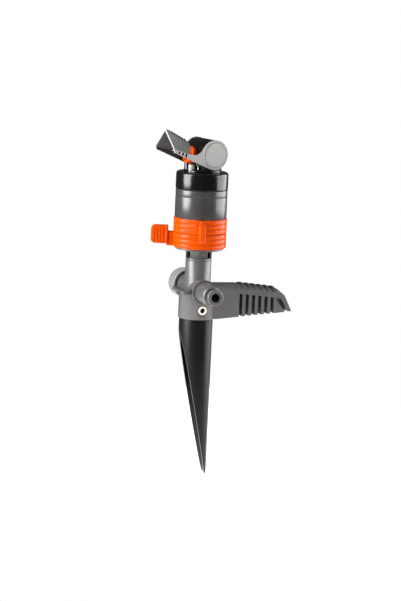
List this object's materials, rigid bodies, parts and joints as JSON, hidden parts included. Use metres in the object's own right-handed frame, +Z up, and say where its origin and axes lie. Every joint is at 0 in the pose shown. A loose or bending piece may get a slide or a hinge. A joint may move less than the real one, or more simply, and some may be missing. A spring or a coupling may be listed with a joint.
{
  "type": "garden sprinkler",
  "caption": "Turbine driven sector sprinkler on a ground spike, with a step handle, hose connector, two sector rings, a geared turning head and a tilting deflector hood.",
  "frame": {"origin": "on the vertical axis at the ground line, the bottom face of the grey collar", "axes": "+Z up along the riser, +X towards the step handle, -Y towards the hose connector, +Y towards the end cap"},
  "size_m": [0.1527, 0.1036, 0.3662],
  "materials": {
    "stand_grey": "satin",
    "black_gloss": "glossy",
    "housing_grey": "semi-gloss",
    "hood_grey": "satin",
    "cap_grey": "satin",
    "orange": "glossy",
    "rivet_cream": "glossy",
    "seal_black": "matte",
    "white_plastic": "satin",
    "steel": "brushed",
    "brass": "satin"
  },
  "bodies": {
    "stand": {"stand_body": "stand_grey", "spike": "black_gloss", "spike_rivet": "rivet_cream", "hose_connector": "stand_grey", "connector_o_ring": "seal_black", "inlet_filter": "white_plastic", "housing_base": "stand_grey", "neck_o_ring": "seal_black", "base_screws": "steel", "drive_housing": "housing_grey", "trim_ring": "housing_grey", "shaft_bush": "white_plastic", "shaft_seal": "seal_black", "turbine_stator": "white_plastic", "trip_spring": "steel", "gear_plate": "black_gloss", "turbine_axle": "steel", "gear_axle": "steel"},
    "plug": {"end_cap": "cap_grey", "end_cap_gasket": "seal_black"},
    "lower_ring": {"lower_sector_ring": "orange"},
    "upper_ring": {"upper_sector_ring": "orange"},
    "diverter": {"flow_diverter": "orange"},
    "rotor": {"turbine_rotor": "white_plastic"},
    "gear_one": {"first_gear": "white_plastic"},
    "gear_two": {"second_gear": "white_plastic"},
    "gear_three": {"third_gear": "white_plastic"},
    "head": {"rotor_cap": "black_gloss", "turret": "black_gloss", "turret_screws": "steel", "nozzle_tip": "orange", "nozzle_pipe": "white_plastic", "catch_wire": "steel", "hood_pins": "hood_grey", "output_gear": "white_plastic", "output_shaft": "white_plastic", "thrust_washer": "white_plastic"},
    "hood": {"deflector_hood": "hood_grey"}
  },
  "joints": [
    {"name": "head_turn", "type": "hinge", "parent": "stand", "child": "head", "pos_m": [0, 0, 0.14], "axis": [0, 0, 1], "continuous": true},
    {"name": "hood_tilt", "type": "hinge", "parent": "head", "child": "hood", "pos_m": [0.00263, 0.00059, 0.1728], "axis": [0.2198, -0.9755, 0], "range_deg": [-6, 12]},
    {"name": "lower_ring_turn", "type": "hinge", "parent": "stand", "child": "lower_ring", "pos_m": [0, 0, 0.084], "axis": [0, 0, 1], "range_deg": [-147, 35]},
    {"name": "upper_ring_turn", "type": "hinge", "parent": "stand", "child": "upper_ring", "pos_m": [0, 0, 0.099], "axis": [0, 0, 1], "range_deg": [-34, 95]},
    {"name": "end_cap_pull", "type": "slide", "parent": "stand", "child": "plug", "axis": [0, 1, 0], "range_m": [0, 0.03]},
    {"name": "diverter_swing", "type": "hinge", "parent": "stand", "child": "diverter", "pos_m": [0, 0, 0.0845], "axis": [0, 0, 1], "range_deg": [-10, 10]},
    {"name": "rotor_spin", "type": "hinge", "parent": "stand", "child": "rotor", "pos_m": [0, 0, 0.09], "axis": [0, 0, 1], "continuous": true},
    {"name": "first_gear_spin", "type": "hinge", "parent": "stand", "child": "gear_one", "pos_m": [0.011, 0, 0.098], "axis": [0, 0, 1], "continuous": true},
    {"name": "second_gear_spin", "type": "hinge", "parent": "stand", "child": "gear_two", "pos_m": [0, 0, 0.103], "axis": [0, 0, 1], "continuous": true},
    {"name": "third_gear_spin", "type": "hinge", "parent": "stand", "child": "gear_three", "pos_m": [0.011, 0, 0.107], "axis": [0, 0, 1], "continuous": true}
  ],
  "couplings": [
    {"joint": "third_gear_spin", "follows": "head_turn", "ratio": 5},
    {"joint": "second_gear_spin", "follows": "head_turn", "ratio": -15},
    {"joint": "first_gear_spin", "follows": "head_turn", "ratio": 45},
    {"joint": "rotor_spin", "follows": "head_turn", "ratio": -135}
  ]
}
